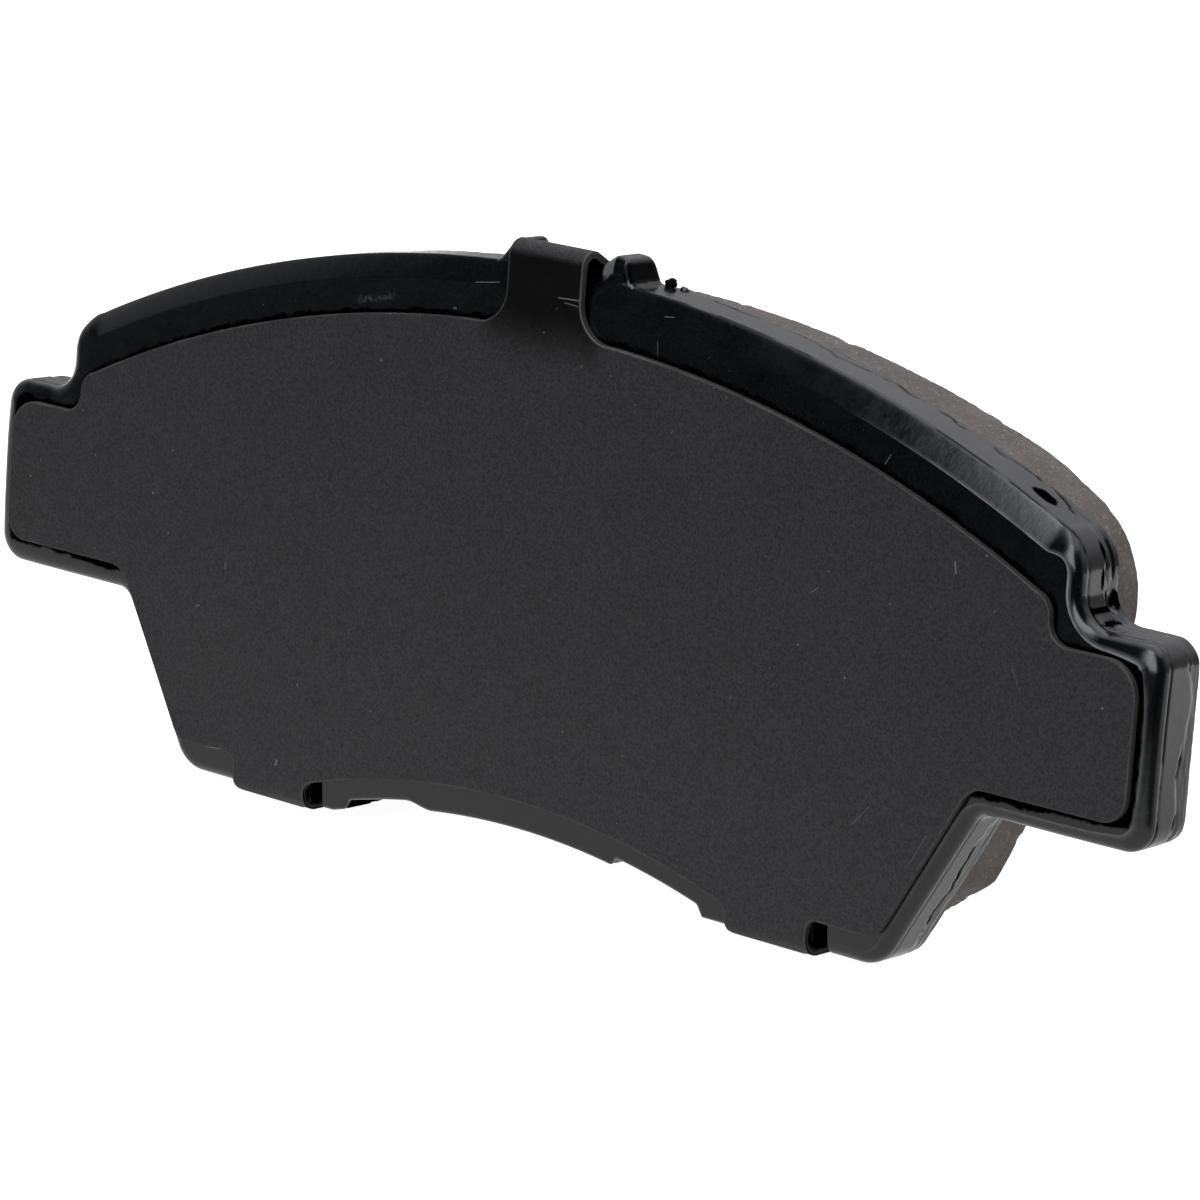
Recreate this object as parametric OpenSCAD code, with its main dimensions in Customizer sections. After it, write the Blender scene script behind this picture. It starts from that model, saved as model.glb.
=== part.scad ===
// Disc brake pad: a stamped steel backing plate with a friction block bonded to it,
// and a laminated noise shim that clips over the plate with three folded tabs.
// X runs along the pad, +Y points to the rotor, +Z points away from the wheel's axle.
// The origin is under the middle of the pad, at the level that its lower tabs rest on.

/* [Overall] */
// Thickness from the shim's outer face to the friction face
pad_thickness = 15.5; // [14.5:0.1:18]
// Distance of the rotor's axis below the lower tabs
axis_drop = 70.6; // [65:0.1:80]

/* [Backing plate] */
// Thickness of the plate
plate_t = 5.45; // [4.5:0.05:6]
// Half of the plate's length, over the ears
plate_half = 63.9; // [61:0.1:66]
// Half of the plate's length, over the shoulders
shoulder_half = 55.6; // [54:0.1:57]
// Radius of the plate's upper edge about the rotor's axis
plate_top_r = 122.2; // [121.5:0.1:123]
// Radius of the plate's lower edge about the rotor's axis
plate_low_r = 74.25; // [73.5:0.05:74.4]
// Upper face of the ears
ear_top_z = 32.1; // [31:0.1:33]
// Lower face of the ears
ear_low_z = 15.3; // [14:0.1:16]
// Level of the plate's feet
foot_z = 0.65; // [0.62:0.01:0.8]
// Width of the sloping edge along the plate's upper arc
arc_bevel_w = 2.05; // [1:0.05:2.2]
// Depth of the sloping edge along the plate's upper arc
arc_bevel_d = 1.15; // [0.6:0.05:1.4]
// Width and depth of the softer edge round the ears, sides and feet
side_bevel = 1.1; // [0.9:0.05:1.2]
// Height of the two small lugs above the rotor's axis
lug_top_r = 124.1; // [123.4:0.1:124.2]
// Half of the gap between the lugs
lug_gap_half = 4.35; // [4.3:0.05:4.6]
// Radius of the two keying holes
key_r = 6; // [5:0.1:8]
// Distance of the keying holes from the middle
key_x = 26; // [22:0.5:32]
// Height of the keying holes
key_z = 24; // [21:0.5:27]

/* [Friction block] */
// Radius of the block's upper edge about the rotor's axis
friction_top_r = 119.95; // [118:0.05:121]
// Radius of the block's lower edge about the rotor's axis
friction_low_r = 74.45; // [74.4:0.05:76]
// Level of the block's feet
friction_foot_z = 1.5; // [1:0.1:3]
// Thickness of the cured adhesive film
film_t = 0.2; // [0.1:0.05:0.3]
// Thickness of the bonding layer under the friction material
underlayer_t = 2; // [1:0.1:2.5]
// Width of the slot across the middle of the block
slot_w = 3; // [2:0.1:4]
// Friction material left under the slot
slot_floor_t = 1.2; // [0.5:0.1:3]

/* [Shim] */
// Thickness of the outer rubber coat
coat_t = 0.1; // [0.05:0.05:0.15]
// Thickness of each steel sheet
sheet_t = 0.2; // [0.15:0.05:0.25]
// Thickness of the damping layer between the sheets
damping_t = 0.1; // [0.05:0.05:0.1]
// Half of the shim's length, over the ears
shim_half = 62.1; // [61:0.1:62.5]
// Radius of the shim's upper edge about the rotor's axis
shim_top_r = 117.2; // [116.5:0.1:118]
// Radius of the shim's lower edge about the rotor's axis
shim_low_r = 76.9; // [76.2:0.1:77.5]
// Half width of the upper tab
top_tab_half = 4.05; // [3.5:0.05:4.1]
// Inner side of each lower tab
low_tab_in = 23.8; // [23:0.1:25]
// Outer side of each lower tab
low_tab_out = 32.3; // [31:0.1:33]
// Outer radius of the upper tab's bend
top_bend_r = 1.4; // [1.2:0.05:1.6]
// Outer radius of the lower tabs' bends
low_bend_r = 1.8; // [1.75:0.05:2]

/* [Hidden] */

seat_gap = 0.05;                 // shim to plate, so that the shim slides off freely
weld = 0.02;                     // overlap that joins a tab's bend to its straight parts
dip = 0.3;                       // a lug's or tab's outline starts this far inside the arc it grows from
arc_fn = 360;                    // segments of the large arcs
hole_fn = 96;
corner_steps = 10;               // segments of each rounded corner
far = 40;                        // reach of cutting shapes past the pad
shim_t = coat_t + 2 * sheet_t + damping_t;
outer_y = -pad_thickness / 2;    // outer face of the shim
plate_y0 = outer_y + shim_t + seat_gap;
plate_y1 = plate_y0 + plate_t;
film_y = plate_y1 + film_t;
underlayer_y = film_y + underlayer_t;
friction_y = pad_thickness / 2;

slant = 0.567;                   // sideways run per unit of height of the plate's sloping sides
foot_half = 39.2;                // plate's half width at its feet
ear_root_half = foot_half + slant * (ear_low_z - foot_z);
plate_tangent_x = 50;            // where the upper arc runs out into a straight line
boss_half = 11;                  // middle of the lower edge, between its shallow recesses
recess_out = 20.3;
recess_depth = 0.75;
lug_out = 6.8;
lug_foot = 8;
lug_hold = 4;                    // how far the lug's outline reaches down into the plate
lug_setback = 1;                 // front of the lugs behind the plate's front

shim_shoulder = 53.5;
shim_ear_top = 30.5;
shim_ear_low = 17.6;
shim_foot_z = 3.35;              // lower edge of the shim outside its lower tabs
shim_foot_half = 39.3;
shim_root_half = 47.3;
top_bend_z = 52.35;              // centre of the upper tab's bend
top_bend_lean = 30;              // how far the upper tab's end points below level
top_tab_reach = 2.6;             // straight end of the upper tab
low_bend_z = low_bend_r - coat_t;  // centre of the lower bends: bare steel touches level 0
low_tab_y = 4.4;                 // straight end of each lower tab
coat_turn = 60;                  // how far the coat follows each lower bend

friction_bend_x = 42.3;            // where the upper edge starts to fall towards the shoulder
friction_shoulder = [54, 35.05];
friction_waist = [39.7, 5.6];
friction_foot = [34.2, friction_foot_z];

// Unit vector along v
function unit(v) = v / norm(v);
// Height of the tangent at x = t to the circle of radius r about the rotor's axis
function tangent_z(r, t, x) = (r * r - t * x) / sqrt(r * r - t * t) - axis_drop;
// Height of the circle of radius r about the rotor's axis, at x
function arc_z(r, x) = sqrt(r * r - x * x) - axis_drop;
// The shorter turn from angle a to angle b
function turn(a, b) = let (d = b - a) d > 180 ? d - 360 : d < -180 ? d + 360 : d;
// Distance from the corner at p to where a rounding of radius r begins
function round_run(a, p, b, r) = r / tan(acos(unit(a - p) * unit(b - p)) / 2);
// Centre of the arc of radius r that rounds the corner at p between a and b
function round_centre(a, p, b, r) = let (u = unit(a - p), v = unit(b - p))
    p + unit(u + v) * r / sin(acos(u * v) / 2);
// Points of the arc of radius r that rounds the corner at p between a and b
function corner(a, p, b, r) =
    r == 0 ? [p] :
    let (run = round_run(a, p, b, r), c = round_centre(a, p, b, r),
         s = p + unit(a - p) * run - c, e = p + unit(b - p) * run - c,
         a0 = atan2(s[1], s[0]), da = turn(a0, atan2(e[1], e[0])))
    [for (i = [0 : corner_steps]) c + r * [cos(a0 + da * i / corner_steps), sin(a0 + da * i / corner_steps)]];
// A closed outline whose corners are [x, z, radius]
function rounded(pts) = let (n = len(pts))
    [for (i = [0 : n - 1])
        let (a = pts[(i + n - 1) % n], p = pts[i], b = pts[(i + 1) % n])
        each corner([a[0], a[1]], [p[0], p[1]], [b[0], b[1]], p[2])];
// The right half of an outline, followed by its mirror image
function both_sides(pts) =
    concat(pts, [for (i = [len(pts) - 1 : -1 : 0]) [-pts[i][0], pts[i][1], pts[i][2]]]);

// Extrudes an X-Z outline from y0 to y1
module slab(y0, y1) {
    translate([0, y1, 0]) rotate([90, 0, 0]) linear_extrude(y1 - y0) children();
}

module axis_disc(r) {
    translate([0, -axis_drop]) circle(r, $fn = arc_fn);
}

module mirrored() {
    children();
    mirror([1, 0, 0]) children();
}

/* ---- backing plate ---- */

module lug_2d() {
    polygon(rounded([
        [lug_gap_half, arc_z(plate_top_r, lug_foot) - lug_hold, 0],
        [lug_gap_half, lug_top_r - axis_drop, 0.45],
        [lug_out, lug_top_r - axis_drop, 1],
        [lug_out, arc_z(plate_top_r, lug_out), 0.8],
        [lug_foot, arc_z(plate_top_r, lug_foot) - dip, 0],
        [lug_foot, arc_z(plate_top_r, lug_foot) - lug_hold, 0]]));
}

// Corners of the plate's right side, from the shoulder down to the foot
plate_side = [
    [shoulder_half, tangent_z(plate_top_r, plate_tangent_x, shoulder_half), 4],
    [shoulder_half, ear_top_z, 2.8],
    [plate_half, ear_top_z, 2.3],
    [plate_half, ear_low_z, 2.5],
    [ear_root_half, ear_low_z, 1.8],
    [foot_half, foot_z, 3.4]];
ear_roots = [1, 4];              // the inward corners among them

module plate_2d() {
    difference() {
        intersection() {
            polygon(rounded(both_sides(concat([
                [0, far + plate_top_r - axis_drop, 0],
                [far, tangent_z(plate_top_r, plate_tangent_x, far), 0]], plate_side))));
            axis_disc(plate_top_r);
        }
        axis_disc(plate_low_r);
        mirrored() intersection() {
            axis_disc(plate_low_r + recess_depth);
            translate([boss_half, -far]) square([recess_out - boss_half, 2 * far]);
        }
    }
}

// Cuts a sloping edge along the straight edge from p to q of the plate's front
module edge_cut(p, q) {
    over = 1;
    translate([p[0], plate_y0, p[1]])
        rotate([0, -atan2(q[1] - p[1], q[0] - p[0]), 0])
        rotate([90, 0, 90])
        linear_extrude(norm(q - p))
        polygon([[-over, -side_bevel - over], [-over, over], [side_bevel + over, over]]);
}

// Cuts the sloping edge round an inward corner of radius r, centred on c
module root_cut(c, r) {
    over = 0.3;
    translate([c[0], plate_y0 - over, c[1]]) rotate([-90, 0, 0])
        cylinder(h = side_bevel + 2 * over, r1 = r + side_bevel + over, r2 = r - over, $fn = hole_fn);
}

// Cuts the softer edge along the plate's right side
module side_cut() {
    reach = 1;
    pts = [for (p = concat(plate_side, [[recess_out, foot_z, 0]])) [p[0], p[1]]];
    root_run = [for (i = [0 : len(pts) - 1])
        len(search(i, ear_roots)) == 0 ? 0
            : 0.9 * round_run(pts[i - 1], pts[i], pts[i + 1], plate_side[i][2])];
    for (i = [0 : len(pts) - 2]) {
        along = unit(pts[i + 1] - pts[i]);
        edge_cut(pts[i] + along * (i == 0 ? -reach : root_run[i]), pts[i + 1] - along * root_run[i + 1]);
    }
    for (i = ear_roots)
        root_cut(round_centre(pts[i - 1], pts[i], pts[i + 1], plate_side[i][2]), plate_side[i][2]);
}

// Cuts the sloping edge along the plate's upper arc
module arc_cut() {
    over = 3;
    intersection() {
        translate([0, plate_y0, -axis_drop]) rotate([-90, 0, 0]) rotate_extrude($fn = arc_fn)
            polygon([[plate_top_r - arc_bevel_w - over, -over * arc_bevel_d / arc_bevel_w],
                     [plate_top_r + over, -over * arc_bevel_d / arc_bevel_w],
                     [plate_top_r + over, arc_bevel_d * (1 + over / arc_bevel_w)]]);
        translate([-shoulder_half, plate_y0 - over, ear_top_z + over])
            cube([2 * shoulder_half, plate_t, far]);
    }
}

module backing_plate() {
    color([0.03, 0.03, 0.035]) difference() {
        slab(plate_y0, plate_y1) plate_2d();
        arc_cut();
        mirrored() {
            side_cut();
            translate([key_x, plate_y0 - seat_gap, key_z]) rotate([-90, 0, 0])
                cylinder(h = plate_t + 2 * seat_gap, r = key_r, $fn = hole_fn);
        }
    }
    color([0.03, 0.03, 0.035]) mirrored() slab(plate_y0 + lug_setback, plate_y1) lug_2d();
}

/* ---- friction side ---- */

module friction_2d() {
    tangent_x = 40.4;
    difference() {
        intersection() {
            polygon(rounded(both_sides([
                [0, far + friction_top_r - axis_drop, 0],
                [far, tangent_z(friction_top_r, tangent_x, far), 0],
                [friction_bend_x, tangent_z(friction_top_r, tangent_x, friction_bend_x), 25],
                [friction_shoulder[0], friction_shoulder[1], 9],
                [friction_waist[0], friction_waist[1], 2.5],
                [friction_foot[0], friction_foot[1], 2]])));
            axis_disc(friction_top_r);
        }
        axis_disc(friction_low_r);
    }
}

module key_hole_2d() {
    mirrored() translate([key_x, key_z]) circle(key_r, $fn = hole_fn);
}

module adhesive_film() {
    color([0.28, 0.22, 0.16]) slab(plate_y1, film_y) difference() {
        friction_2d();
        key_hole_2d();
    }
}

module underlayer() {
    color([0.3, 0.28, 0.26]) {
        slab(film_y, underlayer_y) friction_2d();
        slab(plate_y0, film_y) key_hole_2d();
    }
}

module friction_block() {
    color([0.4, 0.36, 0.33]) difference() {
        slab(underlayer_y, friction_y) friction_2d();
        translate([-slot_w / 2, underlayer_y + slot_floor_t, -far])
            cube([slot_w, pad_thickness, plate_top_r + far]);
    }
}

/* ---- shim ---- */

// Flat part of the shim, with its tabs up to their bends
module shim_2d() {
    tangent_x = 49;
    tab_root = 3.2;
    low_tab_z = low_bend_z - weld;
    difference() {
        intersection() {
            polygon(rounded(both_sides([
                [0, far + shim_top_r - axis_drop, 0],
                [far, tangent_z(shim_top_r, tangent_x, far), 0],
                [shim_shoulder, tangent_z(shim_top_r, tangent_x, shim_shoulder), 2],
                [shim_shoulder, shim_ear_top, 1.9],
                [shim_half, shim_ear_top, 3],
                [shim_half, shim_ear_low, 2.2],
                [shim_root_half, shim_ear_low, 2.4],
                [shim_foot_half, shim_foot_z, 2]])));
            axis_disc(shim_top_r);
        }
        axis_disc(shim_low_r);
    }
    polygon(rounded(both_sides([
        [top_tab_half, top_bend_z + weld, 0],
        [top_tab_half, arc_z(shim_top_r, top_tab_half), tab_root],
        [top_tab_half + 2 * tab_root, arc_z(shim_top_r, top_tab_half + 2 * tab_root) - dip, 0],
        [top_tab_half + 2 * tab_root, arc_z(shim_top_r, top_tab_half + 2 * tab_root) - 2, 0]])));
    mirrored() polygon(rounded([
        [low_tab_in, low_tab_z, 0],
        [low_tab_in, arc_z(shim_low_r, low_tab_in), 1.2],
        [low_tab_in - 3, arc_z(shim_low_r, low_tab_in - 3) + dip, 0],
        [low_tab_in - 3, shim_foot_z + 3, 0],
        [low_tab_out + 3, shim_foot_z + 3, 0],
        [low_tab_out + 3, shim_foot_z, 0],
        [low_tab_out, shim_foot_z, 0.9],
        [low_tab_out, low_tab_z, 0]]));
}

// Part of a ring between two radii, from angle a0 to angle a1
module ring_part(r_out, r_in, a0, a1) {
    reach = 3 * r_out;
    mid = (a0 + a1) / 2;
    intersection() {
        difference() {
            circle(r_out, $fn = hole_fn);
            circle(r_in, $fn = hole_fn);
        }
        polygon(concat([[0, 0]], [for (a = [a0, mid, a1]) reach * [cos(a), sin(a)]]));
    }
}

// Extrudes a Y-Z profile from x0 to x1
module tab_slab(x0, x1) {
    translate([x0, 0, 0]) rotate([90, 0, 90]) linear_extrude(x1 - x0) children();
}

module top_tab(t0, t1) {
    tab_slab(-top_tab_half, top_tab_half) translate([outer_y + top_bend_r, top_bend_z]) {
        ring_part(top_bend_r - t0, top_bend_r - t1, 90 - top_bend_lean, 180);
        rotate(90 - top_bend_lean) translate([top_bend_r - t1, -top_tab_reach])
            square([t1 - t0, top_tab_reach + weld]);
    }
}

module low_tab(t0, t1, turned, reach) {
    tab_slab(low_tab_in, low_tab_out) translate([outer_y + low_bend_r, low_bend_z]) {
        ring_part(low_bend_r - t0, low_bend_r - t1, 180, 180 + turned);
        if (reach > 0) translate([-weld, t0 - low_bend_r]) square([reach + weld, t1 - t0]);
    }
}

// One layer of the laminate, from depth t0 to depth t1 below the shim's outer face
module shim_layer(t0, t1, turned = 90, reach = low_tab_y - low_bend_r) {
    slab(outer_y + t0, outer_y + t1) shim_2d();
    top_tab(t0, t1);
    mirrored() low_tab(t0, t1, turned, reach);
}

module shim_outer_coat() {
    color([0.17, 0.16, 0.155]) shim_layer(0, coat_t, coat_turn, 0);
}

module shim_outer_sheet() {
    color([0.45, 0.43, 0.4]) shim_layer(coat_t, coat_t + sheet_t);
}

module shim_damping_layer() {
    color([0.08, 0.07, 0.07]) shim_layer(coat_t + sheet_t, coat_t + sheet_t + damping_t);
}

module shim_inner_sheet() {
    color([0.42, 0.38, 0.34]) shim_layer(coat_t + sheet_t + damping_t, shim_t);
}

backing_plate();
adhesive_film();
underlayer();
friction_block();
shim_inner_sheet();
shim_damping_layer();
shim_outer_sheet();
shim_outer_coat();
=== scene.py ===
import math

import bmesh
import bpy
from mathutils import Matrix, Vector, noise
from mathutils.geometry import delaunay_2d_cdt


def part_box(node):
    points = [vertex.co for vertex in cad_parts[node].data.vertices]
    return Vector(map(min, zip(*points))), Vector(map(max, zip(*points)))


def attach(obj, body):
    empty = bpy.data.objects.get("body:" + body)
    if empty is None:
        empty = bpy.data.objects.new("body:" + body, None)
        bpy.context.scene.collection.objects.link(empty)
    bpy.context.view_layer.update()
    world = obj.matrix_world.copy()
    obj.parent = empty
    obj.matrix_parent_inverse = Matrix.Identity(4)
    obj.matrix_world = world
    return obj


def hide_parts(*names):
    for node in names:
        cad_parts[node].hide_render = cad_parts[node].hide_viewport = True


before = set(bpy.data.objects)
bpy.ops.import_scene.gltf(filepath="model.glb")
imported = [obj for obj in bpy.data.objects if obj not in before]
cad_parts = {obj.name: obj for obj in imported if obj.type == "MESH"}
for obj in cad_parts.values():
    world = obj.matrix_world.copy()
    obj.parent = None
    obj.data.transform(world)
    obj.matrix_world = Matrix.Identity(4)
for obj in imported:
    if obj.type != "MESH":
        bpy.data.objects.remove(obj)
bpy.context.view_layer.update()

# Lengths in this script are in millimetres until a mesh is made.
MM = 0.001


def box_mm(node):
    """Lowest and highest corner of a CAD node, in millimetres."""
    lo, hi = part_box(node)
    return Vector(lo) / MM, Vector(hi) / MM


AXIS_DROP = 70.6                                       # rotor's axis below the lower tabs
PLATE_LO, PLATE_HI = box_mm("backing_plate")
FILM_LO, FILM_HI = box_mm("adhesive_film")
UNDER_HI = box_mm("underlayer")[1]
BLOCK_LO, BLOCK_HI = box_mm("friction_block")
COAT_LO, COAT_HI = box_mm("shim_outer_coat")

# Backing plate
THICK = PLATE_HI.y - PLATE_LO.y
PLATE_TOP_R = 122.2
PLATE_LOW_R = 74.25
SHOULDER_HALF = 55.6
EAR_TOP_Z = 32.1
EAR_LOW_Z = 15.3
FOOT_Z = PLATE_LO.z
FOOT_HALF = 39.2
EAR_ROOT_HALF = FOOT_HALF + 0.567 * (EAR_LOW_Z - FOOT_Z)
BEVEL_W, BEVEL_D = 2.05, 1.15                          # sloping edge of the upper arc
ROLL_W, ROLL_D = 1.15, 1.1                             # rolled edge of sides, ears and feet
LOW_ROLL_W, LOW_ROLL_D = 0.45, 0.5                     # edge of the lower arc
RECESS_DEPTH, RECESS_IN, RECESS_OUT, LEFT_RECESS_OUT = 0.75, 11.0, 20.5, 19.3
KEY_R, KEY_X, KEY_Z = 6.0, 26.0, 24.0
LUG_IN, LUG_TOP_Z = 4.35, 53.5
LUG_SETBACK = 1.0
# Narrow notches in the feet beside the lower tabs: from x to x
NOTCH_TOP_Z = 3.2
FOOT_NOTCHES = [(32.6, 34.0), (-23.4, -22.1)]

# Friction block
BLOCK_TOP_R = 119.95
BLOCK_LOW_R = 74.45
BLOCK_FOOT_Z = BLOCK_LO.z
BLOCK_TANGENT, BLOCK_BEND = 40.4, 42.3                 # where the upper edge leaves its arc, and bends
SLOT_W = 3.0
SLOT_FLOOR_Y = BLOCK_LO.y + 1.2
BELOW_ALL, ABOVE_ALL = -9, 59                          # levels past the pad, for a cutter

# Shim
OUTER_Y = COAT_LO.y
COAT_T, SHEET_T, DAMPING_T = 0.1, 0.2, 0.1
SHIM_HALF = COAT_HI.x
SHIM_TOP_R, SHIM_LOW_R = 117.2, 76.9
SHIM_TANGENT, SHIM_SHOULDER = 49, 53.5
SHIM_EAR_TOP_Z, SHIM_EAR_LOW_Z = 30.5, 17.6
SHIM_EAR_ROOT, SHIM_FOOT, SHIM_FOOT_Z = 47.3, 39.3, 3.35
TOP_TAB_HALF, LOW_TAB_IN, LOW_TAB_OUT = 4.05, 23.8, 32.3
TOP_BEND_R, LOW_BEND_R = 1.4, 1.8
TOP_BEND_Z, LOW_BEND_Z = 52.35, LOW_BEND_R - COAT_T
TOP_TURN, LOW_TURN, COAT_TURN = math.radians(120), math.radians(90), math.radians(60)
TOP_REACH, LOW_REACH = 2.6, 2.6
TOP_END = TOP_BEND_Z + TOP_BEND_R * TOP_TURN + TOP_REACH
LOW_END = LOW_BEND_Z - LOW_BEND_R * LOW_TURN - LOW_REACH
TOP_BEND_STEPS, LOW_BEND_STEPS = 14, 12


# ---------------------------------------------------------------- outlines

def arc_z(r, x):
    """Height at x of the circle of radius r about the rotor's axis."""
    return math.sqrt(r * r - x * x) - AXIS_DROP


def tangent_z(r, t, x):
    """Height at x of the tangent to that circle at x = t."""
    return (r * r - t * x) / math.sqrt(r * r - t * t) - AXIS_DROP


def arc(r, x0, x1, step=0.5):
    """Points of that circle from x0 to x1."""
    n = max(2, round(abs(x1 - x0) / step))
    return [Vector((x0 + (x1 - x0) * i / n, arc_z(r, x0 + (x1 - x0) * i / n))) for i in range(n + 1)]


def rounded(corners):
    """A path through (x, z, radius) corners. The first and last only give its end directions."""
    path = []
    for (ax, az, _), (px, pz, r), (bx, bz, _) in zip(corners, corners[1:], corners[2:]):
        a, p, b = Vector((ax, az)), Vector((px, pz)), Vector((bx, bz))
        if r == 0:
            path.append(p)
            continue
        u, v = (a - p).normalized(), (b - p).normalized()
        half = u.angle(v) / 2
        centre = p + (u + v).normalized() * r / math.sin(half)
        start, end = p + u * r / math.tan(half) - centre, p + v * r / math.tan(half) - centre
        turn = start.angle_signed(end)
        steps = max(4, round(abs(turn) * r / 0.2))
        path += [centre + Matrix.Rotation(-turn * i / steps, 2) @ start for i in range(steps + 1)]
    return path


def resampled(path, spacing):
    """The same path with evenly spaced points."""
    run = [0.0]
    for a, b in zip(path, path[1:]):
        run.append(run[-1] + (b - a).length)
    n = max(2, round(run[-1] / spacing))
    out, j = [], 0
    for i in range(n + 1):
        at = run[-1] * i / n
        while j < len(run) - 2 and run[j + 1] < at:
            j += 1
        share = (at - run[j]) / max(run[j + 1] - run[j], 1e-9)
        out.append(path[j].lerp(path[j + 1], share))
    return out


def closed(half):
    """A right half from top to bottom, followed by its mirror image, as one clockwise loop."""
    return half + [Vector((-p.x, p.y)) for p in reversed(half)][1:-1]


def normals(loop):
    """Outward normals of a clockwise loop."""
    out = []
    for i, p in enumerate(loop):
        d = loop[(i + 1) % len(loop)] - loop[i - 1]
        out.append(Vector((-d.y, d.x)).normalized())
    return out


def smooth(lo, hi, x):
    """0 below lo and 1 above hi, with a smooth rise between."""
    t = min(1.0, max(0.0, (x - lo) / (hi - lo)))
    return t * t * (3 - 2 * t)


def mix(a, b, share):
    return a + (b - a) * share


def rough(x, y, z, size, depth=3):
    """Smooth pseudo-random value of about -1 to 1, with features of that size."""
    return noise.fractal(Vector((x, y, z)) / size, 0.8, 2.1, depth, noise_basis="PERLIN_ORIGINAL")


# ---------------------------------------------------------------- meshes

def finished(name, verts, faces, skin, body, nodes, sharp=35):
    """A shown piece from millimetre vertices, which stands for CAD nodes and rides on a body."""
    mesh = bpy.data.meshes.new(name)
    mesh.from_pydata([Vector(v) * MM for v in verts], [], faces)
    mesh.validate()
    obj = bpy.data.objects.new(name, mesh)
    bpy.context.scene.collection.objects.link(obj)
    mesh.shade_smooth()
    mesh.set_sharp_from_angle(angle=math.radians(sharp))
    mesh.materials.append(skin)
    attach(obj, body)
    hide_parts(*nodes)
    return obj


def cap(loops, bars=(), holes=False):
    """Triangles that fill the first loop, less the others, as indices into all the loops' points in order.

    bars are pairs of indices joined by an edge.
    """
    points, edges = [], list(bars)
    for loop in loops:
        base = len(points)
        points += [Vector((p[0], p[1])) for p in loop]
        edges += [(base + i, base + (i + 1) % len(loop)) for i in range(len(loop))]
    _, _, faces, source, _, _ = delaunay_2d_cdt(points, edges, [], 2 if holes else 1, 1e-6)
    return [[source[i][0] for i in face] for face in faces]


def lofted(rings, place, bars=(), hole_rings=()):
    """Vertices and faces of a closed solid.

    Its rings of (x, z, depth) run from the front to the back, and the first and last are filled. place turns
    a ring's point into (x, y, z). hole_rings are the same for holes, and bars are cap()'s.
    """
    verts, faces = [], []
    columns = [rings, *hole_rings]
    starts = []
    for column in columns:
        starts.append(len(verts))
        for ring in column:
            verts += [place(*p) for p in ring]
    for column, start in zip(columns, starts):
        n = len(column[0])
        for k in range(len(column) - 1):
            for i in range(n):
                a, b = start + k * n + i, start + k * n + (i + 1) % n
                faces.append([a, b, b + n, a + n])
    for end in (0, -1):
        loops = [column[end] for column in columns]
        index = []
        for column, start in zip(columns, starts):
            n = len(column[0])
            first = start + (len(column) - 1 if end else 0) * n
            index += list(range(first, first + n))
        for face in cap(loops, bars, bool(hole_rings)):
            face = [index[i] for i in face]
            faces.append(face if end else face[::-1])
    return verts, faces


def outward(obj):
    """Turns all of a closed mesh's faces outward."""
    bm = bmesh.new()
    bm.from_mesh(obj.data)
    bmesh.ops.recalc_face_normals(bm, faces=bm.faces)
    bm.to_mesh(obj.data)
    bm.free()


def combined(obj, others, operation):
    """Unites the others with obj, or cuts them from it, and removes them."""
    for other in others:
        step = obj.modifiers.new("combine", "BOOLEAN")
        step.operation, step.object, step.solver = operation, other, "EXACT"
    bpy.context.view_layer.update()
    evaluated = obj.evaluated_get(bpy.context.evaluated_depsgraph_get())
    mesh = bpy.data.meshes.new_from_object(evaluated)
    obj.modifiers.clear()
    old, obj.data = obj.data, mesh
    bpy.data.meshes.remove(old)
    for other in others:
        bpy.data.objects.remove(other)


def paint(obj, name, value):
    """Stores value(x, y, z) at each vertex, in millimetres, for the piece's material to read."""
    layer = obj.data.attributes.new(name, "FLOAT", "POINT")
    layer.data.foreach_set("value", [value(*(v.co / MM)) for v in obj.data.vertices])


def helper(name, verts, faces):
    """An unfinished object that a boolean uses up."""
    mesh = bpy.data.meshes.new(name)
    mesh.from_pydata([Vector(v) * MM for v in verts], [], faces)
    mesh.shade_smooth()
    obj = bpy.data.objects.new(name, mesh)
    bpy.context.scene.collection.objects.link(obj)
    outward(obj)
    return obj


# ---------------------------------------------------------------- materials

def adder(tree):
    """add(kind, inputs, settings) for a node tree: it makes a node, and links or sets its inputs."""
    def add(kind, inputs=None, **settings):
        node = tree.nodes.new(kind)
        for key, value in settings.items():
            setattr(node, key, value)
        for key, value in (inputs or {}).items():
            if isinstance(value, bpy.types.NodeSocket):
                tree.links.new(value, node.inputs[key])
            else:
                node.inputs[key].default_value = value
        return node
    return add


def material(name):
    """(material, its Principled shader)."""
    made = bpy.data.materials.new(name)
    made.use_nodes = True
    return made, made.node_tree.nodes["Principled BSDF"]


def surface(name):
    """(material, add, join, place): join links an output to the shader, place is the point on the piece."""
    made, shader = material(name)
    add = adder(made.node_tree)

    def join(output, socket):
        made.node_tree.links.new(output, shader.inputs[socket])

    return made, add, join, add("ShaderNodeTexCoord").outputs["Object"]


def xyz(add, vector):
    """The three parts of a vector."""
    return add("ShaderNodeSeparateXYZ", {"Vector": vector}).outputs


def relief(add, join, height, strength, depth):
    """Bump of that depth in millimetres, for grain too fine to model."""
    bump = add("ShaderNodeBump", {"Strength": strength, "Distance": depth * MM, "Height": height})
    join(bump.outputs["Normal"], "Normal")


def grain(add, place, size, detail=3.0, roughness=0.55):
    """A noise value with features of that size, in millimetres."""
    return add("ShaderNodeTexNoise", {"Vector": place, "Scale": 1 / (size * MM), "Detail": detail,
                                      "Roughness": roughness}).outputs["Fac"]


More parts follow.
